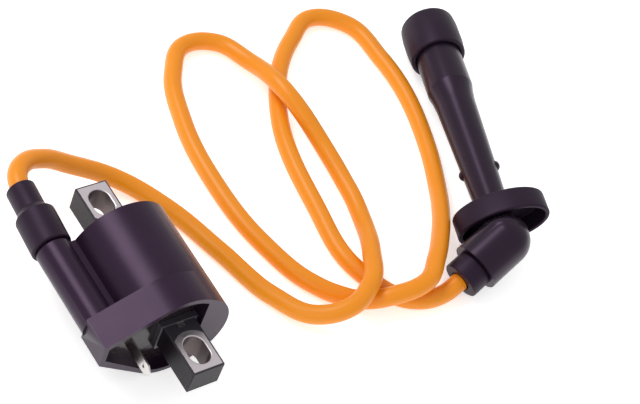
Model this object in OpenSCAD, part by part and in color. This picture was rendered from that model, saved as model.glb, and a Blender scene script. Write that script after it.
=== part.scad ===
// Motorcycle ignition coil with its high-tension lead and spark plug cap.
// The coil lies on its barrel: +Z is up through the mounting slots, +Y runs along the steel
// core towards the high-tension tower, and the plug cap lies at the far end of the lead.

/* [Core] */
// Width of the laminated steel core
core_w = 14; // [12:0.5:16]
// Thickness of the core, along the mounting bolts
core_h = 11.8; // [10:0.1:13]
// Length of the core from lug to lug
core_len = 93; // [88:0.5:100]
// Distance between the two mounting slots
slot_spacing = 74; // [70:0.5:78]
// Width of a mounting slot
slot_w = 8.6; // [6:0.1:9]
// Length of a mounting slot
slot_len = 12.4; // [10:0.1:14]

/* [Case] */
// Outside diameter of the moulded barrel
barrel_d = 43; // [42:0.5:46]
// Near end face of the case, measured from the middle of the core
case_near = 26.7; // [26:0.1:28]
// Far end face of the case, measured from the middle of the core
case_far = 23; // [22:0.1:25]
// Length of the full-height band at the potting end
band_len = 14; // [10:0.5:18]
// Distance of the high-tension tower from the core, sideways
tower_x = 29; // [28:0.5:31]
// Height of the high-tension tower above the core's middle
tower_v = 5.5; // [4:0.5:7]
// Outside diameter of the tower housing along the case
tower_d = 14; // [13:0.5:15]
// Depth of the potting pocket down to the resin
pocket_depth = 5; // [3:0.5:6]

/* [Tower boot] */
// Diameter of the boot's sleeve
boot_d = 16.2; // [15:0.1:17]
// Diameter of the boot's collar round the lead
collar_d = 11.8; // [11:0.1:13]
// Where the boot's collar ends, measured from the middle of the core
collar_end = 53.7; // [50:0.1:58]
// Lean of the tower and its boot towards the core, in degrees
tower_lean = 3.5; // [0:0.5:6]

/* [Lead] */
// Diameter of the high-tension lead
lead_d = 8; // [7:0.1:8.5]

/* [Plug cap] */
// Length of the cap from its elbow to the plug opening
cap_len = 128.6; // [125:0.1:135]
// Diameter of the elbow housing
elbow_d = 22; // [20:0.1:23]
// Angle between the plug bore and the lead socket
elbow_angle = 119.3; // [115:0.1:125]
// Width of the oval water seal
flange_w = 40.4; // [38:0.1:46]
// Height of the oval water seal
flange_h = 23.2; // [22.4:0.1:30]
// How far the water seal sits off the plug bore, away from the lead
flange_shift = 2; // [0:0.1:3]
// Diameter of the rubber sleeve at the plug opening
tip_d = 26; // [24:0.5:26]
// Bore of the rubber sleeve, where the plug's insulator goes in
plug_bore_d = 10; // [9:0.5:11]

/* [Hidden] */
$fn = 64;

barrel_r = barrel_d / 2;
tower_r = tower_d / 2;
boot_r = boot_d / 2;
lead_r = lead_d / 2;
case_wall = 2.2;
cavity_r = barrel_r - case_wall;
core_end = core_len / 2;
sleeve_wall = 1.2;
tip_x = -35;
tip_low = -0.3;
tip_high = 11.2;

// The part's origin is the middle of the coil's own footprint.
axis_x = (tower_x + boot_r - barrel_r) / 2;
axis_y = (core_end - collar_end - 0.3) / 2;

// The lead's course in the coil's own axes, from inside the tower boot to the cap's socket.
LEAD_ROUTE = [
    [-28.7, 28, 27], [-27.8, 42, 27], [-27.1, 53, 27], [-24.6, 60.7, 26.9], [-18.2, 66.2, 25.2],
    [-8.5, 68.2, 21.4], [5, 66.5, 14.2], [24, 58.8, 6.4], [38.2, 38.6, 4.2], [47.5, 12, 4.2],
    [56, -14, 4.4], [66.3, -31.1, 8], [79.1, -35.6, 13.2], [91.8, -29.9, 15], [104, -14.5, 11.6],
    [114.5, 3.5, 4.9], [120, 41, 5.8], [114.5, 77, 13.6], [113.8, 98, 6.6], [106.5, 114.2, 4.2],
    [91.5, 117, 4.2], [78.5, 104.3, 4.2], [68.5, 79, 4.2], [64, 45, 4.2], [67, 9, 4.2],
    [76, -15.5, 4.2], [88.5, -28.5, 4.2], [102, -36.5, 10.9], [117.2, -36.9, 14.2],
    [127.4, -29, 13.8], [138.5, -18.2, 11.2], [149.9, -4.7, 7.8], [159.1, 9.6, 5], [168, 28.7, 4.3],
    [178, 82, 4.2], [174, 105.3, 4.2], [158.6, 113.8, 4.2], [142.5, 105, 4.2], [112.5, 69, 4.2],
    [99.8, 20, 4.2], [98.5, -17, 4.2], [111.5, -37.6, 4.4], [127.5, -40.8, 5.3],
    [135.2, -39.5, 8.1], [147.3, -36.7, 13.5]
];

// Places and turns

// Moves a shape drawn about the core's axis to its place above the floor.
module on_coil_axis() {
    translate([axis_x, axis_y, barrel_r]) children();
}

// Extrudes an XZ outline along Y, from y0 to y1.
module along_y(y0, y1) {
    translate([0, y1, 0]) rotate([90, 0, 0]) linear_extrude(y1 - y0) children();
}

// A cylinder along +Y, from y0 to y1.
module rod_y(y0, y1, r) {
    translate([0, y0, 0]) rotate([-90, 0, 0]) cylinder(h = y1 - y0, r = r);
}

// A tube along +Y.
module tube_y(y0, y1, r_out, r_in) {
    difference() {
        rod_y(y0, y1, r_out);
        rod_y(y0 - 1, y1 + 1, r_in);
    }
}

// Turns an outline of radius against length into a solid about +Y.
module turned_y(profile) {
    rotate([-90, 0, 0]) rotate_extrude() polygon(profile);
}

// A rectangular block along Y, centred on the axis.
module bar_y(y0, y1, w, h) {
    translate([-w / 2, y0, -h / 2]) cube([w, y1 - y0, h]);
}

// Coil case

// Angle on a circle of radius r, centred at c, where a line from p touches it.
function touch_angle(p, c, r, side) =
    atan2(p[1] - c[1], p[0] - c[0]) + side * acos(r / norm(p - c));

// Point of a circle at an angle.
function on_circle(c, r, angle) = [c[0] + r * cos(angle), c[1] + r * sin(angle)];

shoulder_c = [-3, 2.2];
shoulder_r = barrel_r - 0.3;

// Full-height outline at the potting end: the barrel, its raised shoulder and the wing.
module band_outline(inset) {
    tip_top = [tip_x + inset, tip_high - inset];
    tip_bottom = [tip_x + inset, tip_low + inset];
    r = barrel_r - inset;
    rs = shoulder_r - inset;
    circle(r);
    translate(shoulder_c) circle(rs);
    polygon([
        [0, 0],
        on_circle(shoulder_c, rs, touch_angle(tip_top, shoulder_c, rs, -1)),
        tip_top,
        tip_bottom,
        on_circle([0, 0], r, touch_angle(tip_bottom, [0, 0], r, 1))
    ]);
}

// Outline of the long part: barrel and tower housing with a valley between them.
module valley_outline() {
    tower_c = [-tower_x, tower_v];
    reach = norm(tower_c);
    slope = atan2(-tower_v, tower_x);
    under = slope - acos((tower_r - barrel_r) / reach);
    circle(barrel_r);
    translate(tower_c) circle(tower_r);
    polygon([
        [0, 0],
        on_circle([0, 0], barrel_r, under),
        on_circle(tower_c, tower_r, under),
        tower_c,
        [-tower_x, tower_v + 2.5],
        [-barrel_r + 6, tower_v + 2.5]
    ]);
}

band_end = band_len - case_near;
resin_y = pocket_depth - case_near;
cavity_y = resin_y + 5;
far_inside = case_far - 2.5;
wall_x = core_w / 2 + 1.5;
spigot_r = 6;
spigot_end = 37;
tower_bore_r = 4.3;

// Moves a shape drawn along the core's direction to the tower's own leaning axis.
module on_tower() {
    translate([-tower_x, case_far, tower_v]) rotate([0, 0, -tower_lean])
        translate([0, -case_far, 0]) children();
}

// Moulded case: open pocket at the near end, closed far wall and hollow tower.
module coil_case() {
    color("#2b2630") on_coil_axis() difference() {
        union() {
            along_y(-case_near, band_end) band_outline(0);
            along_y(band_end, case_far) valley_outline();
            on_tower() rod_y(case_far - 1, spigot_end, spigot_r);
        }
        intersection() {
            along_y(-case_near - 1, cavity_y) band_outline(case_wall);
            left_of_wall();
        }
        rod_y(cavity_y - 0.1, far_inside, cavity_r);
        bar_y(-case_near - 1, case_far + 1, core_w + 0.2, core_h + 0.2);
        on_tower() rod_y(13, spigot_end + 1, tower_bore_r);
        link_run(1.2, -tower_x, -cavity_r + 2);
    }
}

// Keeps the part of a shape that lies left of the flush end wall.
module left_of_wall() {
    translate([-60, -60, -60]) cube([60 + wall_x, 120, 120]);
}

// Core and windings

// One mounting slot through the core.
module core_slot(y) {
    run = (slot_len - slot_w) / 2;
    for (end = [-1, 1])
        translate([0, y + end * run, -core_h]) cylinder(h = 2 * core_h, r = slot_w / 2);
    translate([-slot_w / 2, y - run, -core_h]) cube([slot_w, 2 * run, 2 * core_h]);
}

// Laminated steel core with a mounting slot in each lug.
module core_stack() {
    color("#8f8c90") on_coil_axis() difference() {
        bar_y(-core_end, core_end, core_w, core_h);
        core_slot(-slot_spacing / 2);
        core_slot(slot_spacing / 2);
    }
}

lip_y = -case_near + 2.5;

// Insulating sleeve between the core and the primary bobbin; its edge shows above the resin.
module core_sleeve() {
    color("#3a3440") on_coil_axis() difference() {
        bar_y(lip_y, far_inside, core_w + 2 * sleeve_wall, core_h + 2 * sleeve_wall);
        bar_y(lip_y - 1, far_inside + 1, core_w + 0.2, core_h + 0.2);
    }
}

coil_y0 = -16.5;
coil_y1 = far_inside - 0.5;
flange_t = 1.5;
primary_r = 12.6;
primary_wound_r = 14.6;
primary_flange_r = 15.2;

// Spool of the primary winding.
module primary_bobbin() {
    color("#b8a888") on_coil_axis() difference() {
        union() {
            rod_y(coil_y0, coil_y1, primary_r);
            rod_y(coil_y0, coil_y0 + flange_t, primary_flange_r);
            rod_y(coil_y1 - flange_t, coil_y1, primary_flange_r);
        }
        bar_y(coil_y0 - 1, coil_y1 + 1, core_w + 2 * sleeve_wall + 0.2,
              core_h + 2 * sleeve_wall + 0.2);
    }
}

// Primary winding: a few hundred turns of thick wire, drawn as its wound envelope.
module primary_winding() {
    color("#b5652a") on_coil_axis()
        tube_y(coil_y0 + flange_t + 0.05, coil_y1 - flange_t - 0.05, primary_wound_r,
               primary_r + 0.05);
}

secondary_in = 15.3;
secondary_r = 16.1;
secondary_wound_r = 18.1;
secondary_rib_r = 18.6;
rib_t = 1;
sections = 8;
section_pitch = (coil_y1 - coil_y0 - rib_t) / sections;

// Sectioned spool of the secondary winding.
module secondary_bobbin() {
    color("#d8cfb8") on_coil_axis() difference() {
        union() {
            rod_y(coil_y0, coil_y1, secondary_r);
            for (i = [0 : sections])
                rod_y(coil_y0 + i * section_pitch, coil_y0 + i * section_pitch + rib_t,
                      secondary_rib_r);
        }
        rod_y(coil_y0 - 1, coil_y1 + 1, secondary_in);
    }
}

// Secondary winding, one bank of fine wire in each section of its spool.
module secondary_winding() {
    color("#9c4a1e") on_coil_axis() for (i = [0 : sections - 1])
        tube_y(coil_y0 + i * section_pitch + rib_t + 0.05,
               coil_y0 + (i + 1) * section_pitch - 0.05, secondary_wound_r, secondary_r + 0.05);
}

wound_clear_r = secondary_rib_r + 0.1;

// Epoxy that fills the case round the windings up to the pocket's floor.
module potting_resin() {
    color("#15131a") on_coil_axis() difference() {
        union() {
            rod_y(cavity_y - 0.1, far_inside, cavity_r);
            intersection() {
                along_y(resin_y, cavity_y) band_outline(case_wall);
                left_of_wall();
            }
        }
        rod_y(coil_y0 - 0.1, coil_y1 + 0.1, wound_clear_r);
        bar_y(-case_near, far_inside + 1, core_w + 2 * sleeve_wall + 0.1,
              core_h + 2 * sleeve_wall + 0.1);
        blade_blank(0.05);
        link_run(0.65, -tower_x, wound_clear_r - tower_x);
    }
}

// Terminals

blade_w = 6.3;
blade_t = 0.8;
blade_x = -18.3;
blade_v = -1.6;
blade_tip = 36;

// Spade outline with a pointed end, grown by a clearance all round.
module blade_blank(gap) {
    half = blade_w / 2 + gap;
    translate([blade_x - blade_t / 2 - gap, 0, blade_v]) rotate([90, 0, 90])
        linear_extrude(blade_t + 2 * gap) polygon([
            [resin_y + 4, -half], [resin_y + 4, half], [-blade_tip + 1.6, half],
            [-blade_tip, half - 2], [-blade_tip, 2 - half], [-blade_tip + 1.6, -half]
        ]);
}

// Spade terminal of the primary winding, standing on edge in the pocket.
module blade_terminal() {
    color("#c9c6c4") on_coil_axis() difference() {
        blade_blank(0);
        translate([blade_x - 1, -blade_tip + 4.3, blade_v]) rotate([0, 90, 0])
            cylinder(h = 2, r = 0.9);
    }
}

tab_w = 3;
tab_t = 0.5;

// Tinned strip that earths the other end of the primary winding to the core.
module earth_tab() {
    color("#bdb9b0") on_coil_axis()
        translate([-tab_w / 2, lip_y - 1.6, core_h / 2])
            cube([tab_w, 1.6, tab_t]);
}

// Brass spike in the tower that bites into the lead's conductor.
module tower_screw() {
    color("#c8a44a") on_coil_axis() on_tower() {
        rod_y(14, 19, tower_bore_r - 0.1);
        turned_y([[0, 18.9], [1.3, 18.9], [0.3, 27], [0, 27]]);
    }
}

// Straight run from the tower's axis towards the windings, between two x positions.
module link_run(r, x0, x1) {
    translate([x0, 17, tower_v]) rotate([0, 90, 0]) cylinder(h = x1 - x0, r = r);
}

// Wire from the last section of the secondary winding to the tower's spike.
module ht_link() {
    color("#b5652a") on_coil_axis() link_run(0.6, -tower_x + tower_bore_r, -17.5);
}

// Rubber boot over the tower, with a shoulder and a collar that grips the lead.
module tower_boot() {
    gap = 0.1;
    grip_r = lead_r + 0.35;
    color("#26222c") on_coil_axis() on_tower() turned_y([
        [spigot_r + gap, case_far + 0.8], [boot_r, case_far + 0.8], [boot_r, 38.5],
        [boot_r - 0.7, 40.4], [collar_d / 2 + 0.4, 41.8], [collar_d / 2, 43],
        [collar_d / 2, collar_end - 0.6], [collar_d / 2 - 0.6, collar_end],
        [grip_r, collar_end], [grip_r, spigot_end + 0.5], [spigot_r + gap, spigot_end + 0.5]
    ]);
}

// Lead

lead_sides = 10;

// Direction of the route at point i, between its neighbours.
function course(i) =
    let (before = LEAD_ROUTE[max(i - 1, 0)], after = LEAD_ROUTE[min(i + 1, len(LEAD_ROUTE) - 1)])
    (after - before) / norm(after - before);

// Point halfway between route points i and i + 1 on a smooth curve through them.
function halfway(i) =
    let (a = LEAD_ROUTE[i], b = LEAD_ROUTE[i + 1])
    (a + b) / 2 + (course(i) - course(i + 1)) * norm(b - a) / 8;

lead_path = [for (i = [0 : 2 * len(LEAD_ROUTE) - 2])
    i % 2 == 0 ? LEAD_ROUTE[i / 2] : halfway((i - 1) / 2)];

// Direction of the smoothed path at ring i.
function heading(i) =
    let (before = lead_path[max(i - 1, 0)], after = lead_path[min(i + 1, len(lead_path) - 1)])
    (after - before) / norm(after - before);

// Level sideways direction at ring i, and the direction square to it.
function sideways(i) = let (s = cross(heading(i), [0, 0, 1])) s / norm(s);
function upwards(i) = cross(sideways(i), heading(i));

// One ring of the lead's surface.
function ring(i, r) = [for (k = [0 : lead_sides - 1])
    lead_path[i] + r * (cos(k * 360 / lead_sides) * sideways(i)
                        + sin(k * 360 / lead_sides) * upwards(i))];

// Sweeps a round section along the smoothed path.
module swept_lead(r) {
    rings = len(lead_path);
    points = [for (i = [0 : rings - 1]) each ring(i, r)];
    sides = [for (i = [0 : rings - 2], k = [0 : lead_sides - 1])
        let (n = (k + 1) % lead_sides, a = i * lead_sides, b = a + lead_sides)
        [a + k, a + n, b + n, b + k]];
    first = [for (k = [lead_sides - 1 : -1 : 0]) k];
    last = [for (k = [0 : lead_sides - 1]) (rings - 1) * lead_sides + k];
    polyhedron(points, concat([first], sides, [last]));
}

// Silicone high-tension lead, tower to cap.
module ht_lead() {
    color("#f08a12") translate([axis_x, axis_y, 0]) swept_lead(lead_r);
}

// Plug cap

cap_corner = [158.9, -34.1, 18.7];
cap_heading = -20.8;
cap_pitch = -2.5;
cap_roll = -29;
socket_end = 17.5;
socket_bore_r = lead_r + 0.35;
seal_r = 8.5;
tube_bore_r = 4.2;
mouth_bore_r = 8.2;
tip_start = 107.3;
tube_end = 115.3;
flange_back = 6.8;
flange_front = 17.8;

// Moves a shape drawn with the plug bore along +Y and the lead socket in the XY plane.
module on_cap() {
    translate([axis_x, axis_y, 0]) translate(cap_corner)
        rotate([0, 0, cap_heading]) rotate([cap_pitch, 0, 0]) rotate([0, cap_roll, 0]) children();
}

// Turns a shape drawn along +Y into the lead socket's direction.
module on_socket() {
    rotate([0, 0, elbow_angle]) children();
}

// Small moulded bump on the tube, beside the water seal.
module latch_bump(side) {
    translate([side * 6.6, 39, 0]) sphere(r = 2.6, $fn = 24);
}

// Hard cap: elbow housing, long tapering tube and wide mouth.
module cap_body() {
    color("#2a2530") on_cap() difference() {
        union() {
            sphere(r = elbow_d / 2);
            on_socket() rod_y(0, socket_end, elbow_d / 2);
            turned_y([[0, 0], [elbow_d / 2, 0], [elbow_d / 2, 3.8], [7.2, 8.5],
                      [7.2, 18.5], [8.9, 77], [10.3, 87], [10.3, tube_end], [0, tube_end]]);
            latch_bump(1);
            latch_bump(-1);
        }
        on_socket() rod_y(-3, socket_end + 1, socket_bore_r);
        rod_y(-4, 88, tube_bore_r);
        rod_y(86, tube_end + 1, mouth_bore_r);
    }
}

// Rubber ring that seals the lead in the cap's socket.
module lead_seal() {
    color("#1d1a22") on_cap() on_socket() difference() {
        rod_y(socket_end + 0.1, socket_end + 9, seal_r);
        rod_y(socket_end, socket_end + 10, socket_bore_r);
    }
}

// Oval outline of the water seal, w wide and h high.
module oval(w, h) {
    polygon([for (k = [0 : 71]) [flange_shift + w / 2 * cos(k * 5), h / 2 * sin(k * 5)]]);
}

// Umbrella-shaped water seal that covers the mouth of the plug well.
module flange_seal() {
    wall = 2;
    color("#26222c") on_cap() difference() {
        along_y(flange_back, flange_front) oval(flange_w, flange_h);
        along_y(flange_back - 1, flange_front - 3) oval(flange_w - 2 * wall, flange_h - 2 * wall);
        rod_y(flange_front - 4, flange_front + 1, 7.3);
    }
}

// Rubber sleeve at the plug opening; its lip grips the plug's insulator.
module tip_seal() {
    tip_r = tip_d / 2;
    color("#26222c") on_cap() difference() {
        turned_y([[0, tip_start], [tip_r - 1, tip_start], [tip_r, tip_start + 1.5],
                  [tip_r, cap_len - 1], [tip_r - 1, cap_len], [0, cap_len]]);
        rod_y(tip_start - 1, tube_end + 0.2, 10.4);
        rod_y(tip_start, cap_len + 1, plug_bore_d / 2);
    }
}

// Brass elbow that joins the lead's conductor to the resistor.
module elbow_contact() {
    color("#c8a44a") on_cap() {
        rod_y(-3.4, 5.5, tube_bore_r - 0.1);
        on_socket() rod_y(0, 8.5, 2.6);
    }
}

resistor_y0 = 6;
resistor_len = 28;

// Ceramic suppressor resistor in the tube.
module suppressor_resistor() {
    color("#e6e0d2") on_cap() rod_y(resistor_y0, resistor_y0 + resistor_len, 3.3);
}

spring_y0 = 34.5;
spring_y1 = 60.5;
spring_turns = 7;
spring_steps = 14;
spring_wire_r = 0.45;
spring_r = 3.1;

// Point on the spring's helix after t turns.
function helix(t) = [spring_r * cos(360 * t), spring_r * sin(360 * t),
                     spring_y0 + (spring_y1 - spring_y0) * t / spring_turns];

// Spring that presses the resistor between its two contacts.
module contact_spring() {
    color("#b9b6ae") on_cap() rotate([-90, 0, 0]) mirror([0, 1, 0]) {
        sides = 6;
        rings = spring_turns * spring_steps;
        points = [for (i = [0 : rings], k = [0 : sides - 1])
            let (t = i / spring_steps, out = [cos(360 * t), sin(360 * t), 0])
            helix(t) + spring_wire_r * (cos(k * 60) * out + sin(k * 60) * [0, 0, 1])];
        faces = [for (i = [0 : rings - 1], k = [0 : sides - 1])
            let (n = (k + 1) % sides, a = i * sides, b = a + sides)
            [a + k, b + k, b + n, a + n]];
        first = [for (k = [0 : sides - 1]) k];
        last = [for (k = [sides - 1 : -1 : 0]) rings * sides + k];
        polyhedron(points, concat([first], faces, [last]));
    }
}

// Brass terminal that snaps on the spark plug's top nut.
module plug_terminal() {
    color("#c8a44a") on_cap() difference() {
        union() {
            rod_y(61, 88, tube_bore_r - 0.1);
            rod_y(88, 103, 4.8);
        }
        rod_y(91, 104, 3.25);
    }
}

coil_case();
core_stack();
core_sleeve();
primary_bobbin();
primary_winding();
secondary_bobbin();
secondary_winding();
potting_resin();
blade_terminal();
earth_tab();
ht_link();
tower_screw();
tower_boot();
ht_lead();
cap_body();
lead_seal();
flange_seal();
tip_seal();
elbow_contact();
suppressor_resistor();
contact_spring();
plug_terminal();
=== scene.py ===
"""Visual model of a motorcycle ignition coil with its high-tension lead and spark plug cap.

The coil, the lead and the cap are each a class whose fields are the sizes in millimetres. Every
piece is drawn in the coil's own axes or the cap's own axes, then carried to its place in metres.
"""

import logging
import math
from collections.abc import Sequence
from dataclasses import dataclass
from enum import Enum

import bmesh
import bpy
from mathutils import Matrix, Vector
from mathutils.geometry import interpolate_bezier


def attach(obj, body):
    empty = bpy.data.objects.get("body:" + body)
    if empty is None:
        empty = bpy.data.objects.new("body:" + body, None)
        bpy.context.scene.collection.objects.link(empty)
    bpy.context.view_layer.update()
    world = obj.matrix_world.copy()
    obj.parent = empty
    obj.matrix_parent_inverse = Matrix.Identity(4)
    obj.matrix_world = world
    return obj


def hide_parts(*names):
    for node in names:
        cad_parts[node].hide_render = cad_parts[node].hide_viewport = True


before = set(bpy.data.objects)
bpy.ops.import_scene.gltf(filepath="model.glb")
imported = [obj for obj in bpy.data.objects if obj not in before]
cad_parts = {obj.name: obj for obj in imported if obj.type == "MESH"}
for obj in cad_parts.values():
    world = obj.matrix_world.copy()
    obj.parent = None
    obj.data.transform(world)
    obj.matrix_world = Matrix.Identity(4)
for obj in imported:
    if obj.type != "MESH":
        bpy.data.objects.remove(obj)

LOG = logging.getLogger("scene")

MM = 0.001
COIL_BODY = "coil"
CAP_BODY = "cap"

Outline = list[tuple[float, float]]
Point = tuple[float, float, float]
Term = float | bpy.types.NodeSocket

# The coil's own axes start in the middle of its core; the floor is a barrel's radius below.
COIL_PLACE = Matrix.Translation((7.8, -3.75, 21.5))
FLOOR_PLACE = Matrix.Translation((7.8, -3.75, 0.0))


class Side(Enum):
    """The two ends of the core."""

    NEAR = -1
    FAR = 1


class Carving(Enum):
    """The two ways in which one shape changes another."""

    JOIN = "UNION"
    CUT = "DIFFERENCE"


# Shapes


def arc(centre: tuple[float, float], radius: float, start: float, end: float,
        steps: int) -> Outline:
    """Points along a circular arc.

    Args:
        centre: The arc's centre.
        radius: Its radius.
        start: Angle of the first point, in degrees.
        end: Angle of the last point, in degrees.
        steps: Number of chords.

    Returns:
        steps + 1 points, ends included.
    """
    angles = (math.radians(start + (end - start) * i / steps) for i in range(steps + 1))
    return [(centre[0] + radius * math.cos(a), centre[1] + radius * math.sin(a)) for a in angles]


def fillet(outline: Outline, radius: float, steps: int = 4, closed: bool = False) -> Outline:
    """Rounds the corners of an outline with arcs.

    Args:
        outline: The corner points.
        radius: Radius of the rounding; short sides take less.
        steps: Number of chords in each rounding.
        closed: Whether the last point joins the first, so that they are rounded too.

    Returns:
        The rounded outline.
    """
    count = len(outline)
    rounded: Outline = []
    for i, corner in enumerate(outline):
        if not closed and i in (0, count - 1):
            rounded.append(corner)
            continue
        here = Vector(corner)
        to_last = Vector(outline[i - 1]) - here
        to_next = Vector(outline[(i + 1) % count]) - here
        angle = to_last.angle(to_next)
        if angle > math.radians(170):
            rounded.append(corner)
            continue
        back = min(radius / math.tan(angle / 2), 0.45 * to_last.length, 0.45 * to_next.length)
        first = here + to_last.normalized() * back
        last = here + to_next.normalized() * back
        for k in range(steps + 1):
            t = k / steps
            rounded.append(tuple(first.lerp(here, t).lerp(here.lerp(last, t), t)))
    return rounded


def from_bmesh(name: str, bm: bmesh.types.BMesh, place: Matrix,
               smooth: float = 30.0) -> bpy.types.Object:
    """Carries a mesh drawn in millimetres to its place in metres and makes it an object.

    Args:
        name: The piece's name.
        bm: The mesh; it is freed.
        place: Where the piece's own axes lie, in millimetres.
        smooth: Edges that turn less than this many degrees are shaded smooth.

    Returns:
        The new object, at the origin.
    """
    bmesh.ops.remove_doubles(bm, verts=bm.verts, dist=1e-4)
    bmesh.ops.recalc_face_normals(bm, faces=bm.faces)
    bmesh.ops.transform(bm, matrix=Matrix.Scale(MM, 4) @ place, verts=bm.verts)
    mesh = bpy.data.meshes.new(name)
    bm.to_mesh(mesh)
    bm.free()
    piece = bpy.data.objects.new(name, mesh)
    bpy.context.collection.objects.link(piece)
    mesh.shade_smooth()
    mesh.set_sharp_from_angle(angle=math.radians(smooth))
    return piece


def lathe(profile: Outline, steps: int = 96) -> bmesh.types.BMesh:
    """Turns a profile of (radius, length) points about +Y.

    Args:
        profile: The profile; it closes on itself or starts and ends on the axis.
        steps: Number of faces round.

    Returns:
        The turned mesh.
    """
    bm = bmesh.new()
    verts = [bm.verts.new((r, y, 0.0)) for r, y in profile]
    edges = [bm.edges.new(pair) for pair in zip(verts, verts[1:])]
    if profile[0][0] > 0:
        edges.append(bm.edges.new((verts[-1], verts[0])))
    bmesh.ops.spin(bm, geom=verts + edges, axis=(0, 1, 0), cent=(0, 0, 0), steps=steps,
                   angle=2 * math.pi, use_merge=True)
    bmesh.ops.remove_doubles(bm, verts=bm.verts, dist=1e-4)
    return bm


def prism(outline: Outline, y0: float, y1: float) -> bmesh.types.BMesh:
    """Extrudes an outline of (x, z) points along Y.

    Args:
        outline: The closed outline.
        y0: Where the prism starts.
        y1: Where it ends.

    Returns:
        The prism.
    """
    bm = bmesh.new()
    face = bm.faces.new([bm.verts.new((x, y0, z)) for x, z in outline])
    grown = bmesh.ops.extrude_face_region(bm, geom=[face])
    moved = [v for v in grown["geom"] if isinstance(v, bmesh.types.BMVert)]
    bmesh.ops.translate(bm, verts=moved, vec=(0, y1 - y0, 0))
    bmesh.ops.recalc_face_normals(bm, faces=bm.faces)
    return bm


def block(size: Point, centre: Point) -> bmesh.types.BMesh:
    """A rectangular block.

    Args:
        size: Its sizes along X, Y and Z.
        centre: Its middle.

    Returns:
        The block.
    """
    bm = bmesh.new()
    place = Matrix.Translation(centre) @ Matrix.Diagonal((*size, 1))
    bmesh.ops.create_cube(bm, size=1.0, matrix=place)
    return bm


def rod(radius: float, start: Point, end: Point, steps: int = 64) -> bmesh.types.BMesh:
    """A cylinder between two points.

    Args:
        radius: Its radius.
        start: Middle of one end.
        end: Middle of the other end.
        steps: Number of faces round.

    Returns:
        The cylinder.
    """
    along = Vector(end) - Vector(start)
    turn = along.to_track_quat("Z", "Y").to_matrix().to_4x4()
    place = Matrix.Translation((Vector(start) + Vector(end)) / 2) @ turn
    bm = bmesh.new()
    bmesh.ops.create_cone(bm, cap_ends=True, segments=steps, radius1=radius, radius2=radius,
                          depth=along.length, matrix=place)
    return bm


def carve(base: bmesh.types.BMesh, tool: bmesh.types.BMesh,
          carving: Carving) -> bmesh.types.BMesh:
    """Joins a tool shape to a base, or cuts it away.

    Args:
        base: The mesh that is kept; it is freed.
        tool: The other mesh; it is freed.
        carving: Whether the tool is joined on or cut away.

    Returns:
        The result as a new mesh.
    """
    objects = []
    for bm in (base, tool):
        mesh = bpy.data.meshes.new("carving")
        bmesh.ops.recalc_face_normals(bm, faces=bm.faces)
        bm.to_mesh(mesh)
        bm.free()
        objects.append(bpy.data.objects.new("carving", mesh))
        bpy.context.collection.objects.link(objects[-1])
    cut = objects[0].modifiers.new("cut", "BOOLEAN")
    cut.object, cut.operation, cut.solver = objects[1], carving.value, "EXACT"
    result = bmesh.new()
    result.from_object(objects[0], bpy.context.evaluated_depsgraph_get())
    for scrap in objects:
        mesh = scrap.data
        bpy.data.objects.remove(scrap)
        bpy.data.meshes.remove(mesh)
    bmesh.ops.remove_doubles(result, verts=result.verts, dist=1e-3)
    return result


def soften(piece: bpy.types.Object, width: float, segments: int = 3, angle: float = 32.0) -> None:
    """Rounds a piece's sharp edges with a live bevel.

    Args:
        piece: The piece.
        width: Width of the rounding, in millimetres.
        segments: Number of faces across it.
        angle: Only edges that turn more than this many degrees are rounded.
    """
    bevel = piece.modifiers.new("edges", "BEVEL")
    bevel.width, bevel.segments = width * MM, segments
    bevel.limit_method, bevel.angle_limit = "ANGLE", math.radians(angle)
    bevel.harden_normals = False
    bevel.use_clamp_overlap = True


def fit_out(piece: bpy.types.Object, body: str, slot: str, finish: bpy.types.Material,
            *nodes: str) -> bpy.types.Object:
    """Gives a piece its body, its finish and the CAD nodes that it stands for.

    Args:
        piece: The piece.
        body: The body that it rides on.
        slot: The record's material slot; not used.
        finish: Its material.
        nodes: CAD nodes that it replaces.

    Returns:
        The same piece.
    """
    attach(piece, body)
    if nodes:
        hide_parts(*nodes)
    piece.data.materials.clear()
    piece.data.materials.append(finish)
    LOG.info("made %s on %s", piece.name, body)
    return piece


# Finishes


MOTTLE_GRAIN = 9.0


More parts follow.
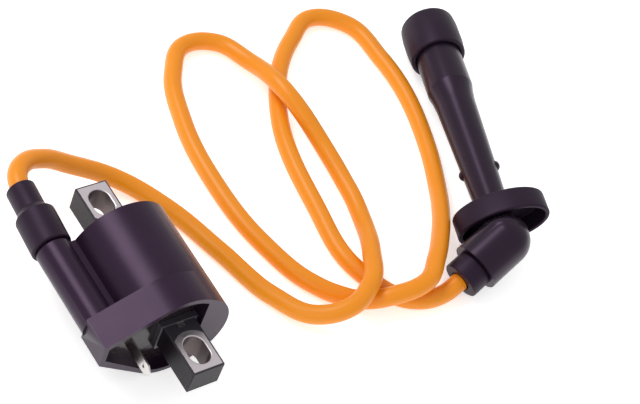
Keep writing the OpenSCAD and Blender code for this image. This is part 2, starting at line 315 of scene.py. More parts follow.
@dataclass(frozen=True)
class Finish:
    """A moulded, rubber, metal or resin surface.

    Args:
        name: The material's name.
        colour: Main colour.
        other: Colour of the faint mottling.
        roughness: Middle roughness.
        spread: How far the roughness varies.
        bump: Height of the surface texture, in millimetres.
        grain: Size of the surface texture, in millimetres.
        metallic: 0 or 1.
        coat: Strength of a clear gloss on top.
        specular: Strength of the dielectric reflection.
        sheen: Tint of the reflection.
    """

    name: str
    colour: Point
    other: Point
    roughness: float
    spread: float = 0.06
    bump: float = 0.01
    grain: float = 0.6
    metallic: float = 0.0
    coat: float = 0.0
    specular: float = 0.5
    sheen: Point = (1.0, 1.0, 1.0)

    def material(self) -> bpy.types.Material:
        """Builds the node tree, or returns it if it was built before."""
        done = bpy.data.materials.get(self.name)
        if done:
            return done
        made = bpy.data.materials.new(self.name)
        made.use_nodes = True
        tree = made.node_tree
        shader = tree.nodes["Principled BSDF"]
        shader.inputs["Metallic"].default_value = self.metallic
        shader.inputs["Coat Weight"].default_value = self.coat
        shader.inputs["Coat Roughness"].default_value = 0.12
        shader.inputs["Specular IOR Level"].default_value = self.specular
        shader.inputs["Specular Tint"].default_value = (*self.sheen, 1)
        place = tree.nodes.new("ShaderNodeTexCoord")
        mottle = self.noise(tree, place, 1 / (MOTTLE_GRAIN * MM), 3.0)
        fine = self.noise(tree, place, 1 / (self.grain * MM), 4.0)
        colour = tree.nodes.new("ShaderNodeMix")
        colour.data_type = "RGBA"
        colour.inputs[6].default_value = (*self.colour, 1)
        colour.inputs[7].default_value = (*self.other, 1)
        tree.links.new(mottle.outputs["Fac"], colour.inputs[0])
        tree.links.new(colour.outputs[2], shader.inputs["Base Color"])
        rough = tree.nodes.new("ShaderNodeMapRange")
        rough.inputs["To Min"].default_value = self.roughness - self.spread
        rough.inputs["To Max"].default_value = self.roughness + self.spread
        tree.links.new(mottle.outputs["Fac"], rough.inputs["Value"])
        tree.links.new(rough.outputs["Result"], shader.inputs["Roughness"])
        bump = tree.nodes.new("ShaderNodeBump")
        bump.inputs["Strength"].default_value = 1.0
        bump.inputs["Distance"].default_value = self.bump * MM
        tree.links.new(fine.outputs["Fac"], bump.inputs["Height"])
        tree.links.new(bump.outputs["Normal"], shader.inputs["Normal"])
        return made

    @staticmethod
    def noise(tree: bpy.types.NodeTree, place: bpy.types.Node, scale: float,
              detail: float) -> bpy.types.Node:
        """Adds a noise texture on the piece's own coordinates.

        Args:
            tree: The node tree.
            place: The texture coordinate node.
            scale: Cells in a metre.
            detail: Number of octaves.

        Returns:
            The noise node.
        """
        noise = tree.nodes.new("ShaderNodeTexNoise")
        noise.inputs["Scale"].default_value = scale
        noise.inputs["Detail"].default_value = detail
        tree.links.new(place.outputs["Object"], noise.inputs["Vector"])
        return noise


PURPLE = (0.85, 0.6, 0.9)
CASE_PLASTIC = Finish("moulded_case", (0.02, 0.009, 0.022), (0.014, 0.006, 0.016),
                      roughness=0.3, spread=0.04, bump=0.006, grain=0.8, specular=0.34,
                      sheen=PURPLE)
SLEEVE_PLASTIC = Finish("moulded_sleeve", (0.05, 0.042, 0.055), (0.035, 0.03, 0.04),
                        roughness=0.32, spread=0.05, grain=0.7)
RESIN = Finish("poured_resin", (0.012, 0.008, 0.012), (0.018, 0.011, 0.013),
               roughness=0.16, spread=0.05, bump=0.12, grain=4.0)
TIN = Finish("tinned_metal", (0.78, 0.75, 0.72), (0.6, 0.57, 0.55),
             roughness=0.3, spread=0.1, bump=0.012, grain=0.5, metallic=1.0)
BRASS = Finish("brass", (0.75, 0.55, 0.24), (0.62, 0.42, 0.18),
               roughness=0.28, spread=0.08, grain=0.5, metallic=1.0)
COPPER = Finish("enamelled_copper", (0.5, 0.16, 0.06), (0.38, 0.1, 0.04),
                roughness=0.3, bump=0.05, grain=0.4, metallic=1.0)
BOBBIN = Finish("moulded_bobbin", (0.55, 0.46, 0.32), (0.48, 0.4, 0.27), roughness=0.45)
RUBBER = Finish("black_rubber", (0.018, 0.01, 0.02), (0.012, 0.007, 0.014),
                roughness=0.45, bump=0.018, grain=0.5, specular=0.26, sheen=PURPLE)
SILICONE = Finish("orange_silicone", (0.84, 0.275, 0.008), (0.8, 0.255, 0.006),
                  roughness=0.34, spread=0.04, bump=0.006, grain=0.9, specular=0.35)
CAP_PLASTIC = Finish("moulded_cap", (0.014, 0.008, 0.016), (0.01, 0.006, 0.012),
                     roughness=0.3, spread=0.04, bump=0.005, grain=0.9, specular=0.36,
                     sheen=PURPLE)
CERAMIC = Finish("white_ceramic", (0.82, 0.78, 0.7), (0.76, 0.72, 0.63), roughness=0.4)
SPRING = Finish("spring_wire", (0.6, 0.59, 0.56), (0.5, 0.49, 0.47), roughness=0.25,
                metallic=1.0)


@dataclass(frozen=True)
class CoreFinish:
    """Steel core: black paint, bright metal on top of the lugs, and painted light that makes the
    top face lighter than the sides.

    Sizes are in millimetres, in the coil's own axes.
    """

    half_width: float = 7.0
    half_height: float = 5.9
    half_length: float = 46.5
    slot_at: float = 37.0
    slot_half_w: float = 4.36
    slot_half_l: float = 6.3
    border: float = 0.75
    arc_radius: float = 8.6
    paint_edge: float = 0.35
    side_paint: Point = (0.008, 0.005, 0.009)
    top_painted_light: Point = (0.035, 0.03, 0.04)
    # Painted light: the black paint of the top face drawn lighter, as if lit from above.
    slot_steel: Point = (0.16, 0.125, 0.125)
    bare_steel: Point = (0.66, 0.6, 0.63)

    def material(self) -> bpy.types.Material:
        """Builds the painted steel with a bare patch round each slot and painted light on the top
        face.
        """
        made = bpy.data.materials.new("core_steel")
        made.use_nodes = True
        tree = made.node_tree
        shader = tree.nodes["Principled BSDF"]
        shader.inputs["Specular IOR Level"].default_value = 0.22
        node, link = tree.nodes.new, tree.links.new
        place = node("ShaderNodeTexCoord")
        split = node("ShaderNodeSeparateXYZ")
        link(place.outputs["Object"], split.inputs[0])

        def maths(operation: str, first: Term, second: Term | None = None) -> bpy.types.NodeSocket:
            """Adds one math node and returns its output."""
            step = node("ShaderNodeMath")
            step.operation = operation
            for socket, value in zip(step.inputs, (first, second)):
                if isinstance(value, bpy.types.NodeSocket):
                    link(value, socket)
                elif value is not None:
                    socket.default_value = value
            return step.outputs[0]

        def edge(distance: bpy.types.NodeSocket, width: float) -> bpy.types.NodeSocket:
            """Turns a distance in metres into 0 outside and 1 inside, over a width in mm."""
            ramp = node("ShaderNodeMapRange")
            ramp.interpolation_type = "SMOOTHSTEP"
            ramp.inputs["From Min"].default_value = -width * MM
            ramp.inputs["From Max"].default_value = width * MM
            link(distance, ramp.inputs["Value"])
            return ramp.outputs["Result"]

        noise = Finish.noise(tree, place, 1 / (1.1 * MM), 3.0)
        wobble = maths("MULTIPLY", maths("SUBTRACT", noise.outputs["Fac"], 0.5),
                       self.paint_edge * MM)
        x = maths("ABSOLUTE", maths("SUBTRACT", split.outputs["X"], COIL_PLACE.translation.x * MM))
        along = maths("SUBTRACT", split.outputs["Y"], COIL_PLACE.translation.y * MM)
        y = maths("ABSOLUTE", along)
        paint_top = COIL_PLACE.translation.z + self.half_height - self.paint_edge
        z = maths("SUBTRACT", split.outputs["Z"], paint_top * MM)
        side = maths("SUBTRACT", maths("SUBTRACT", (self.half_width - self.border) * MM, x), wobble)
        tip = maths("SUBTRACT", (self.half_length - self.border) * MM, y)
        from_slot = maths("SUBTRACT", y, self.slot_at * MM)
        inward = maths("MINIMUM", from_slot, 0.0)
        squares = maths("ADD", maths("MULTIPLY", inward, inward), maths("MULTIPLY", x, x))
        reach = maths("SQRT", squares)
        round_end = maths("SUBTRACT", maths("SUBTRACT", self.arc_radius * MM, reach), wobble)
        bare = maths("MULTIPLY", edge(side, 0.12), edge(tip, 0.12))
        bare = maths("MULTIPLY", bare, edge(round_end, self.paint_edge))
        bare = maths("MULTIPLY", bare, edge(z, 0.1))
        inside = maths("LESS_THAN", maths("ABSOLUTE", from_slot), self.slot_half_l * MM)
        hole = maths("MULTIPLY", inside, maths("LESS_THAN", x, self.slot_half_w * MM))
        # Painted light: this mask picks the top face, which takes the lighter colour.
        top_light_mask = node("ShaderNodeMapRange")
        top_light_mask.inputs["From Min"].default_value = -0.1 * MM
        top_light_mask.inputs["From Max"].default_value = 0.1 * MM
        link(z, top_light_mask.inputs["Value"])

        def blend(factor: bpy.types.NodeSocket, first: Point | bpy.types.NodeSocket,
                  second: Point) -> bpy.types.NodeSocket:
            """Mixes two colours by a factor."""
            mix = node("ShaderNodeMix")
            mix.data_type = "RGBA"
            if isinstance(first, bpy.types.NodeSocket):
                link(first, mix.inputs[6])
            else:
                mix.inputs[6].default_value = (*first, 1)
            mix.inputs[7].default_value = (*second, 1)
            link(factor, mix.inputs[0])
            return mix.outputs[2]

        # Black paint on the sides, with painted light on the top face.
        painted = blend(top_light_mask.outputs[0], self.side_paint, self.top_painted_light)
        holed = blend(hole, painted, self.slot_steel)
        link(blend(bare, holed, self.bare_steel), shader.inputs["Base Color"])
        metal = maths("MAXIMUM", bare, maths("MULTIPLY", hole, 0.6))
        link(metal, shader.inputs["Metallic"])
        rough = maths("ADD", maths("MULTIPLY", noise.outputs["Fac"], 0.16), 0.3)
        link(rough, shader.inputs["Roughness"])
        brushed = node("ShaderNodeTexNoise")
        brushed.inputs["Scale"].default_value = 1 / (0.25 * MM)
        stretch = node("ShaderNodeMapping")
        stretch.inputs["Scale"].default_value = (1.0, 0.12, 1.0)
        link(place.outputs["Object"], stretch.inputs[0])
        link(stretch.outputs[0], brushed.inputs["Vector"])
        bump = node("ShaderNodeBump")
        bump.inputs["Distance"].default_value = 0.02 * MM
        link(brushed.outputs["Fac"], bump.inputs["Height"])
        link(bump.outputs["Normal"], shader.inputs["Normal"])
        return made


# The coil


@dataclass
class Coil:
    """Moulded case, slotted core, potting and terminals, in the coil's own axes."""

    barrel_r: float = 21.5
    case_near: float = -26.7
    case_far: float = 23.0
    band_len: float = 14.0
    wall: float = 2.2
    shoulder: tuple[float, float] = (-3.0, 2.2)
    shoulder_r: float = 21.2
    tip_x: float = -35.0
    tip_low: float = -0.3
    tip_high: float = 11.2
    wall_x: float = 8.5
    pocket_depth: float = 5.0
    tower: tuple[float, float] = (-29.0, 5.5)
    tower_r: float = 7.0
    spigot_r: float = 6.0
    spigot_end: float = 37.0
    tower_bore_r: float = 4.3
    core_w: float = 14.0
    core_h: float = 11.8
    core_len: float = 93.0
    slot_at: float = 37.0
    slot_r: float = 4.3
    slot_run: float = 1.9
    sleeve_wall: float = 1.2
    blade_x: float = -18.3
    blade_v: float = -1.6
    blade_w: float = 6.3
    blade_t: float = 0.8
    blade_tip: float = -36.0
    blade_point: float = 2.0
    blade_chamfer: float = 1.6
    blade_hole_at: float = 4.3
    blade_hole_r: float = 0.9
    boot_r: float = 8.1
    collar_r: float = 5.9
    collar_end: float = 53.7
    tower_lean: float = 3.5
    web_rise: float = 2.5
    gap: float = 0.2
    tower_bore_start: float = 13.0

    def touch(self, point: tuple[float, float], centre: tuple[float, float], radius: float,
              side: int) -> float:
        """Angle on a circle at which a line from a point touches it.

        Args:
            point: The point outside the circle.
            centre: The circle's centre.
            radius: The circle's radius.
            side: Which of the two touching lines, 1 or -1.

        Returns:
            The angle in degrees.
        """
        away = Vector(point) - Vector(centre)
        turn = math.acos(radius / away.length)
        return math.degrees(math.atan2(away.y, away.x) + side * turn)

    def band_outline(self, inset: float) -> Outline:
        """Full-height outline at the potting end: barrel, raised shoulder and wing.

        Args:
            inset: How far the outline is drawn in, for the pocket.

        Returns:
            The outline, from the wing's lower corner round the barrel to its upper corner.
        """
        low = (self.tip_x + inset, self.tip_low + inset)
        high = (self.tip_x + inset, self.tip_high - inset)
        barrel, shoulder = self.barrel_r - inset, self.shoulder_r - inset
        under = (self.touch(low, (0, 0), barrel, 1) + 180) % 360 - 180
        over = self.touch(high, self.shoulder, shoulder, -1)
        offset = Vector(self.shoulder)
        lean = math.degrees(math.atan2(offset.y, offset.x))
        apart = offset.length
        shared = math.acos((apart**2 + barrel**2 - shoulder**2) / (2 * apart * barrel))
        around = arc((0, 0), barrel, under, lean - math.degrees(shared), 56)
        start = Vector(around[-1]) - offset
        top = arc(self.shoulder, shoulder, math.degrees(math.atan2(start.y, start.x)), over, 28)[1:]
        return [low, *around, *top, high]

    def valley_outline(self) -> Outline:
        """Outline of the long part: barrel and tower housing with a valley between them."""
        reach = Vector(self.tower).length
        slope = math.degrees(math.atan2(-self.tower[1], -self.tower[0]))
        under = slope - math.degrees(math.acos((self.tower_r - self.barrel_r) / reach))
        barrel = arc((0, 0), self.barrel_r, under, 158, 72)
        start = math.degrees(math.asin(self.web_rise / self.tower_r))
        return [*barrel, *arc(self.tower, self.tower_r, start, under + 360, 36)]

    def clipped(self, outline: Outline) -> Outline:
        """The part of a convex outline that lies left of the flush end wall."""
        kept: Outline = []
        for here, there in zip(outline, outline[1:] + outline[:1]):
            if here[0] <= self.wall_x:
                kept.append(here)
            if (here[0] - self.wall_x) * (there[0] - self.wall_x) < 0:
                t = (self.wall_x - here[0]) / (there[0] - here[0])
                kept.append((self.wall_x, here[1] + t * (there[1] - here[1])))
        return kept

    @property
    def leaning(self) -> Matrix:
        """Place of the tower's own axis, which leans from the far wall on."""
        return Matrix.Translation((self.tower[0], self.case_far, self.tower[1])) @ Matrix.Rotation(
            math.radians(-self.tower_lean), 4, "Z") @ Matrix.Translation((0, -self.case_far, 0))

    def on_tower(self, along: float) -> Point:
        """Point on the tower's axis, a distance along the core."""
        return tuple(self.leaning @ Vector((0, along, 0)))

    def make_case(self) -> bpy.types.Object:
        """Moulded case with its pocket, valley and tower."""
        band_end = self.case_near + self.band_len
        shape = prism(self.band_outline(0.0), self.case_near, band_end)
        long_part = prism(self.valley_outline(), band_end - 1, self.case_far)
        shape = carve(shape, long_part, Carving.JOIN)
        spigot = rod(self.spigot_r, self.on_tower(self.case_far - 1),
                     self.on_tower(self.spigot_end))
        shape = carve(shape, spigot, Carving.JOIN)
        pocket = prism(self.clipped(self.band_outline(self.wall)), self.case_near - 1,
                       self.case_near + self.pocket_depth + 0.5)
        shape = carve(shape, pocket, Carving.CUT)
        core_room = block((self.core_w + self.gap, 80, self.core_h + self.gap), (0, 0, 0))
        shape = carve(shape, core_room, Carving.CUT)
        bore = rod(self.tower_bore_r, self.on_tower(self.tower_bore_start),
                   self.on_tower(self.spigot_end + 3))
        shape = carve(shape, bore, Carving.CUT)
        piece = from_bmesh("case_moulding", shape, COIL_PLACE)
        soften(piece, 0.55)
        return fit_out(piece, COIL_BODY, "case_plastic", CASE_PLASTIC.material(), "coil_case")

    def make_core(self) -> bpy.types.Object:
        """Laminated core with a slot in each lug."""
        shape = block((self.core_w, self.core_len, self.core_h), (0, 0, 0))
        for side in Side:
            middle = side.value * self.slot_at
            slot = arc((0, middle + self.slot_run), self.slot_r, 0, 180, 24)
            slot += arc((0, middle - self.slot_run), self.slot_r, 180, 360, 24)
            tool = prism(slot, -self.core_h, self.core_h)
            bmesh.ops.rotate(tool, verts=tool.verts, cent=(0, 0, 0),
                             matrix=Matrix.Rotation(math.radians(90), 3, "X"))
            shape = carve(shape, tool, Carving.CUT)
        piece = from_bmesh("core_laminations", shape, COIL_PLACE)
        soften(piece, 0.45)
        return fit_out(piece, COIL_BODY, "core_steel", CoreFinish().material(), "core_stack")

    def make_blade(self) -> bpy.types.Object:
        """Spade terminal with a pointed end and its locking hole."""
        half = self.blade_w / 2
        root = self.case_near + self.pocket_depth + 4
        narrow = half - self.blade_point
        tip, neck = self.blade_tip, self.blade_tip + self.blade_chamfer
        outline = [(root, -half), (root, half), (neck, half), (tip, narrow), (tip, -narrow),
                   (neck, -half)]
        shape = prism(outline, -self.blade_t / 2, self.blade_t / 2)
        turn = Matrix(((0, 1, 0), (1, 0, 0), (0, 0, 1))).to_4x4()
        place = Matrix.Translation((self.blade_x, 0, self.blade_v)) @ turn
        bmesh.ops.transform(shape, matrix=place, verts=shape.verts)
        middle = tip + self.blade_hole_at
        hole = rod(self.blade_hole_r, (self.blade_x - 2, middle, self.blade_v),
                   (self.blade_x + 2, middle, self.blade_v), 32)
        shape = carve(shape, hole, Carving.CUT)
        piece = from_bmesh("blade", shape, COIL_PLACE)
        soften(piece, 0.12, 2)
        return fit_out(piece, COIL_BODY, "terminal_tin", TIN.material(), "blade_terminal")

    def make_sleeve(self) -> bpy.types.Object:
        """Insulating sleeve round the core, seen as a lip above the resin."""
        width, height = self.core_w + 2 * self.sleeve_wall, self.core_h + 2 * self.sleeve_wall
        start, end = self.case_near + 2.5, self.case_far - 2.5
        middle = (start + end) / 2
        shape = block((width, end - start, height), (0, middle, 0))
        core_room = block((self.core_w + self.gap, 90, self.core_h + self.gap), (0, 0, 0))
        shape = carve(shape, core_room, Carving.CUT)
        piece = from_bmesh("core_sleeve_lip", shape, COIL_PLACE)
        soften(piece, 0.3)
        return fit_out(piece, COIL_BODY, "sleeve_plastic", SLEEVE_PLASTIC.material(), "core_sleeve")

    def make_boot(self) -> bpy.types.Object:
        """Rubber boot over the tower, with its rounded shoulder and collar."""
        bore = 4.2
        outline = [
            (self.spigot_r + 0.1, self.case_far + 0.8), (self.boot_r, self.case_far + 0.8),
            (self.boot_r, 39.5), (self.collar_r, 42.3), (self.collar_r, self.collar_end),
            (bore, self.collar_end), (bore, self.spigot_end + 0.5),
            (self.spigot_r + 0.1, self.spigot_end + 0.5)]
        shape = lathe(fillet(outline, 0.9, 5, closed=True))
        piece = from_bmesh("tower_boot_rubber", shape, COIL_PLACE @ self.leaning)
        return fit_out(piece, COIL_BODY, "boot_rubber", RUBBER.material(), "tower_boot")

    def make(self) -> None:
        """Builds every piece of the coil, and the finishes of the CAD nodes that stay."""
        self.make_case()
        self.make_core()
        self.make_blade()
        self.make_sleeve()
        self.make_boot()
        for name, finish in {
            "potting_resin": RESIN, "earth_tab": TIN, "primary_bobbin": BOBBIN,
            "secondary_bobbin": BOBBIN, "primary_winding": COPPER, "secondary_winding": COPPER,
            "ht_link": COPPER, "tower_screw": BRASS,
        }.items():
            paint_node(name, finish)


def paint_node(name: str, finish: Finish) -> None:
    """Gives a CAD node that stays in view its own finish.

    Args:
        name: The node.
        finish: Its new finish.
    """
    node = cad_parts[name]
    for holder in node.material_slots:
        holder.material = finish.material()
    LOG.info("painted %s", name)


# The lead


@dataclass
class Lead:
    """High-tension lead, along the same course as the CAD's."""

    diameter: float = 8.0
    length: float = 972.0
    samples: int = 10
    sides: int = 28
    route: tuple[Point, ...] = (
        (-28.2, 36, 27), (-27.8, 42, 27), (-27.1, 53, 27), (-24.6, 60.7, 26.9), (-18.2, 66.2, 25.2),
        (-8.5, 68.2, 21.4), (5, 66.5, 14.2), (24, 58.8, 6.4), (38.2, 38.6, 4.2), (47.5, 12, 4.2),
        (56, -14, 4.4), (66.3, -31.1, 8), (79.1, -35.6, 13.2), (91.8, -29.9, 15),
        (104, -14.5, 11.6), (114.5, 3.5, 4.9), (120, 41, 5.8), (114.5, 77, 13.6), (113.8, 98, 6.6),
        (106.5, 114.2, 4.2), (91.5, 117, 4.2), (78.5, 104.3, 4.2), (68.5, 79, 4.2), (64, 45, 4.2),
        (67, 9, 4.2), (76, -15.5, 4.2), (88.5, -28.5, 4.2), (102, -36.5, 10.9),
        (117.2, -36.9, 14.2), (127.4, -29, 13.8), (138.5, -18.2, 11.2), (149.9, -4.7, 7.8),
        (159.1, 9.6, 5), (168, 28.7, 4.3), (178, 82, 4.2), (174, 105.3, 4.2), (158.6, 113.8, 4.2),
        (142.5, 105, 4.2), (112.5, 69, 4.2), (99.8, 20, 4.2), (98.5, -17, 4.2), (111.5, -37.6, 4.4),
        (127.5, -40.8, 5.3), (135.2, -39.5, 8.1),
    )
    handle: float = 1.08

    def directions(self) -> list[Vector]:
        """Direction of the course at each point, weighted towards its shorter neighbour."""
        points = [Vector(p) for p in self.route]
        found = [(points[1] - points[0]).normalized()]
        for last, here, after in zip(points, points[1:], points[2:]):
            back, ahead = here - last, after - here
            mean = back.normalized() * ahead.length + ahead.normalized() * back.length
            found.append(mean.normalized())
        found.append((points[-1] - points[-2]).normalized())
        return found

    def centreline(self) -> list[Vector]:
        """Closely spaced points of the smooth course, in millimetres, none under the floor."""
        points = [FLOOR_PLACE @ Vector(p) for p in self.route]
        ways = self.directions()
        line: list[Vector] = []
        for here, after, way, next_way in zip(points, points[1:], ways, ways[1:]):
            reach = (after - here).length / 3 * self.handle
            line += interpolate_bezier(here, here + way * reach, after - next_way * reach, after,
                                       self.samples + 1)[:-1]
        return [Vector((p.x, p.y, max(p.z, self.diameter / 2))) for p in (*line, points[-1])]

    def make(self, with_pieces: Sequence[bpy.types.Object | str]) -> bpy.types.Object:
        """Args:
            with_pieces: The pieces of the plug cap on its far end; not used.

        Returns:
            The jacket.
        """
        line = self.centreline()
        up = Vector((0, 0, 1))
        bm = bmesh.new()
        rings = []
        for i, here in enumerate(line):
            way = (line[min(i + 1, len(line) - 1)] - line[max(i - 1, 0)]).normalized()
            side = way.cross(up).normalized()
            over = side.cross(way)
            turns = (2 * math.pi * k / self.sides for k in range(self.sides))
            spokes = (side * math.cos(a) + over * math.sin(a) for a in turns)
            rings.append([bm.verts.new(here + spoke * self.diameter / 2) for spoke in spokes])
        for first, second in zip(rings, rings[1:]):
            for k in range(self.sides):
                n = (k + 1) % self.sides
                bm.faces.new((first[k], first[n], second[n], second[k]))
        bm.faces.new(rings[0][::-1])
        bm.faces.new(rings[-1])
        piece = from_bmesh("lead_jacket", bm, Matrix.Identity(4), 50)
        fit_out(piece, COIL_BODY, "lead_silicone", SILICONE.material(), "ht_lead")
        return piece


# The plug cap


@dataclass
class PlugCap:
    """Elbow plug cap; its plug bore runs along +Y and its lead socket lies in the XY plane."""

    corner: Point = (158.9, -34.1, 18.7)
    heading: float = -20.8
    pitch: float = -2.5
    roll: float = -29.0
    elbow_r: float = 11.0
    elbow_angle: float = 119.3
    socket_end: float = 17.5
    socket_bore_r: float = 4.35
    seal_r: float = 8.5
    tube_bore_r: float = 4.2
    mouth_bore_r: float = 8.2
    tube_end: float = 115.3
    flange_w: float = 40.4
    flange_h: float = 23.2
    flange_shift: float = 2.0
    flange_back: float = 6.8
    flange_front: float = 17.8
    flange_wall: float = 2.0
    tip_start: float = 107.3
    cap_len: float = 128.6
    tip_r: float = 13.0
    plug_bore_r: float = 5.0
    latch_r: float = 2.6
    latch_out: float = 6.6
    latch_at: float = 39.0
    neck_r: float = 7.3
    flange_turned_r: float = 20.0

    @property
    def place(self) -> Matrix:
        """Place of the cap's axes."""
        turn = Matrix.Identity(4)
        for angle, axis in ((self.heading, "Z"), (self.pitch, "X"), (self.roll, "Y")):
            turn = turn @ Matrix.Rotation(math.radians(angle), 4, axis)
        return FLOOR_PLACE @ Matrix.Translation(self.corner) @ turn

    @property
    def socket(self) -> Matrix:
        """Turn from the plug bore to the lead socket."""
        return Matrix.Rotation(math.radians(self.elbow_angle), 4, "Z")

    def socket_point(self, along: float) -> Point:
        """Point on the lead socket's axis, a distance from the corner."""
        return tuple(self.socket @ Vector((0, along, 0)))

    def make_body(self) -> bpy.types.Object:
        """Hard cap: elbow, tapering tube and wide mouth."""
        outline = [(0, 0), (self.elbow_r, 0), (self.elbow_r, 3.8), (7.2, 8.5), (7.2, 18.5),
                   (8.9, 77), (9.5, 83), (10.3, 87), (10.3, self.tube_end), (0, self.tube_end)]
        shape = lathe(fillet(outline, 6.0, 8))
        knuckle = bmesh.new()
        bmesh.ops.create_uvsphere(knuckle, u_segments=64, v_segments=32, radius=self.elbow_r)
        shape = carve(shape, knuckle, Carving.JOIN)
        socket = rod(self.elbow_r, (0, 0, 0), self.socket_point(self.socket_end))
        shape = carve(shape, socket, Carving.JOIN)
        for side in (-1, 1):
            latch = bmesh.new()
            place = Matrix.Translation((side * self.latch_out, self.latch_at, 0))
            bmesh.ops.create_uvsphere(latch, u_segments=24, v_segments=12, radius=self.latch_r,
                                      matrix=place)
            shape = carve(shape, latch, Carving.JOIN)
        for bore in (rod(self.socket_bore_r, self.socket_point(-3), self.socket_point(18)),
                     rod(self.tube_bore_r, (0, -4, 0), (0, 88, 0)),
                     rod(self.mouth_bore_r, (0, 86, 0), (0, 120, 0))):
            shape = carve(shape, bore, Carving.CUT)
        piece = from_bmesh("cap_moulding", shape, self.place, 40)
        soften(piece, 0.6, 3, 42)
        return fit_out(piece, CAP_BODY, "cap_plastic", CAP_PLASTIC.material(), "cap_body")

    def make_flange(self) -> bpy.types.Object:
        """Umbrella-shaped water seal with a rounded rim."""
        wide, wall, neck = self.flange_turned_r, self.flange_wall, self.neck_r
        front, half_w, half_h = self.flange_front, self.flange_w / 2, self.flange_h / 2
        outline = [(neck, front - 3), (wide - wall, front - 3), (wide - wall, self.flange_back),
                   (wide, self.flange_back), (wide, front), (neck, front)]
        shape = lathe(fillet(outline, 1.3, 5, closed=True), 128)
        for vert in shape.verts:
            reach = math.hypot(vert.co.x, vert.co.z)
            share = min(max((reach - neck) / (wide - wall - neck), 0.0), 1.0)
            rim = max(reach - wide + wall, 0.0)
            across, up = vert.co.x / reach, vert.co.z / reach
            inner = neck * (1 - share) + share * (half_w - wall)
            vert.co.x = across * (inner + rim) + self.flange_shift * share
            vert.co.z = up * (neck * (1 - share) + share * (half_h - wall) + rim)
        piece = from_bmesh("flange_rubber", shape, self.place, 50)
        return fit_out(piece, CAP_BODY, "boot_rubber", RUBBER.material(), "flange_seal")

    def make_tip(self) -> bpy.types.Object:
        """Rubber sleeve at the plug opening, slightly bulged."""
        start, end, r = self.tip_start, self.cap_len, self.tip_r
        outline = [(10.35, start), (r - 0.5, start), (r, start + 6), (r, end - 6), (r - 0.6, end),
                   (self.plug_bore_r + 1.2, end), (self.plug_bore_r, end - 1.2),
                   (self.plug_bore_r, self.tube_end + 0.2), (10.35, self.tube_end + 0.2)]
        shape = lathe(fillet(outline, 1.9, 6, closed=True))
        piece = from_bmesh("tip_rubber", shape, self.place, 50)
        return fit_out(piece, CAP_BODY, "boot_rubber", RUBBER.material(), "tip_seal")

    def make_lead_seal(self) -> bpy.types.Object:
        """Rubber ring where the lead goes in."""
        start, end = self.socket_end + 0.1, self.socket_end + 9
        outline = [(self.socket_bore_r, start), (self.seal_r, start), (self.seal_r, end),
                   (self.socket_bore_r, end)]
        shape = lathe(fillet(outline, 0.8, 5, closed=True))
        piece = from_bmesh("lead_seal_rubber", shape, self.place @ self.socket, 50)
        return fit_out(piece, CAP_BODY, "boot_rubber", RUBBER.material(), "lead_seal")

    def make(self) -> list[bpy.types.Object]:
        """Builds every piece of the cap.

        Returns:
            The pieces and CAD nodes of the cap.
        """
        made = [self.make_body(), self.make_flange(), self.make_tip(), self.make_lead_seal()]
        for name, finish in {"elbow_contact": BRASS, "suppressor_resistor": CERAMIC,
                             "contact_spring": SPRING, "plug_terminal": BRASS}.items():
            paint_node(name, finish)
            made.append(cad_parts[name])
        return made


# Camera, light and floor


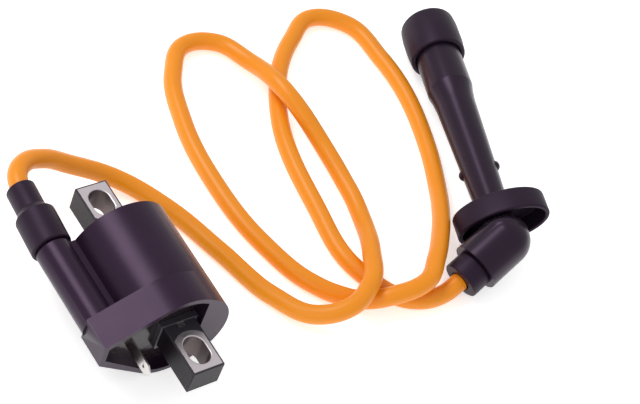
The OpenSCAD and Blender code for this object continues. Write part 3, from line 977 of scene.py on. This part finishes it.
@dataclass
class Studio:
    """Camera, pale floor and soft light; the floor's size is in metres."""

    target: Point = (113.6, 18.5, 0.0)
    azimuth: float = -52.1
    elevation: float = 47.0
    roll: float = 25.0
    distance: float = 807.6
    lens: float = 106.9
    floor_size: float = 6.0

    def make_camera(self) -> None:
        """Camera on the viewing angle, turned about its own axis."""
        camera = bpy.data.cameras.new("camera")
        camera.lens, camera.sensor_width = self.lens, 36.0
        camera.clip_start, camera.clip_end = 0.02, 20.0
        holder = bpy.data.objects.new("camera", camera)
        bpy.context.collection.objects.link(holder)
        around, above = math.radians(self.azimuth), math.radians(self.elevation)
        back = Vector((math.sin(around) * math.cos(above), -math.cos(around) * math.cos(above),
                       math.sin(above)))
        tilt = Matrix.Rotation(math.radians(self.roll), 3, "Z").to_quaternion()
        turn = (-back).to_track_quat("-Z", "Y") @ tilt
        holder.rotation_mode = "QUATERNION"
        holder.rotation_quaternion = turn
        holder.location = (Vector(self.target) + back * self.distance) * MM
        bpy.context.scene.camera = holder

    def make_floor(self) -> None:
        """White paper sweep under the object."""
        bm = bmesh.new()
        bmesh.ops.create_grid(bm, x_segments=1, y_segments=1, size=self.floor_size / 2)
        mesh = bpy.data.meshes.new("floor")
        bm.to_mesh(mesh)
        bm.free()
        floor = bpy.data.objects.new("floor", mesh)
        bpy.context.collection.objects.link(floor)
        paper = bpy.data.materials.new("paper")
        paper.use_nodes = True
        shader = paper.node_tree.nodes["Principled BSDF"]
        shader.inputs["Base Color"].default_value = (0.96, 0.96, 0.96, 1)
        shader.inputs["Roughness"].default_value = 0.9
        shader.inputs["Emission Color"].default_value = (1, 1, 1, 1)
        shader.inputs["Emission Strength"].default_value = 0.5
        mesh.materials.append(paper)

    def add_light(self, name: str, at: Point, power: float, size: tuple[float, float],
                  aim: Point = (0.1, 0.02, 0.02)) -> None:
        """Adds a rectangular soft light.

        Args:
            name: Its name.
            at: Its place, in metres.
            power: Its power, in watts.
            size: Its width and height, in metres.
            aim: The point it faces, in metres.
        """
        light = bpy.data.lights.new(name, "AREA")
        light.shape, light.energy = "RECTANGLE", power
        light.size, light.size_y = size
        holder = bpy.data.objects.new(name, light)
        bpy.context.collection.objects.link(holder)
        holder.location = at
        holder.rotation_mode = "QUATERNION"
        holder.rotation_quaternion = (Vector(aim) - Vector(at)).to_track_quat("-Z", "Y")

    def make(self) -> None:
        """Builds camera, floor, lights and the white surroundings."""
        self.make_camera()
        self.make_floor()
        self.add_light("key", (-0.45, 0.75, 1.25), 10.0, (1.1, 0.5))
        self.add_light("fill", (-1.0, -0.5, 0.9), 2.0, (0.8, 0.8))
        world = bpy.data.worlds.new("surroundings")
        world.use_nodes = True
        around = world.node_tree.nodes["Background"]
        around.inputs["Color"].default_value = (1, 1, 1, 1)
        around.inputs["Strength"].default_value = 0.7
        bpy.context.scene.world = world
        bpy.context.scene.view_settings.view_transform = "Standard"


def main() -> None:
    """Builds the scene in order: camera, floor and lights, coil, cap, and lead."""
    logging.basicConfig(level=logging.INFO, format="%(message)s")
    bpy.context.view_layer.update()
    Studio().make()
    Coil().make()
    Lead().make(PlugCap().make())


if __name__ == "__main__":
    main()
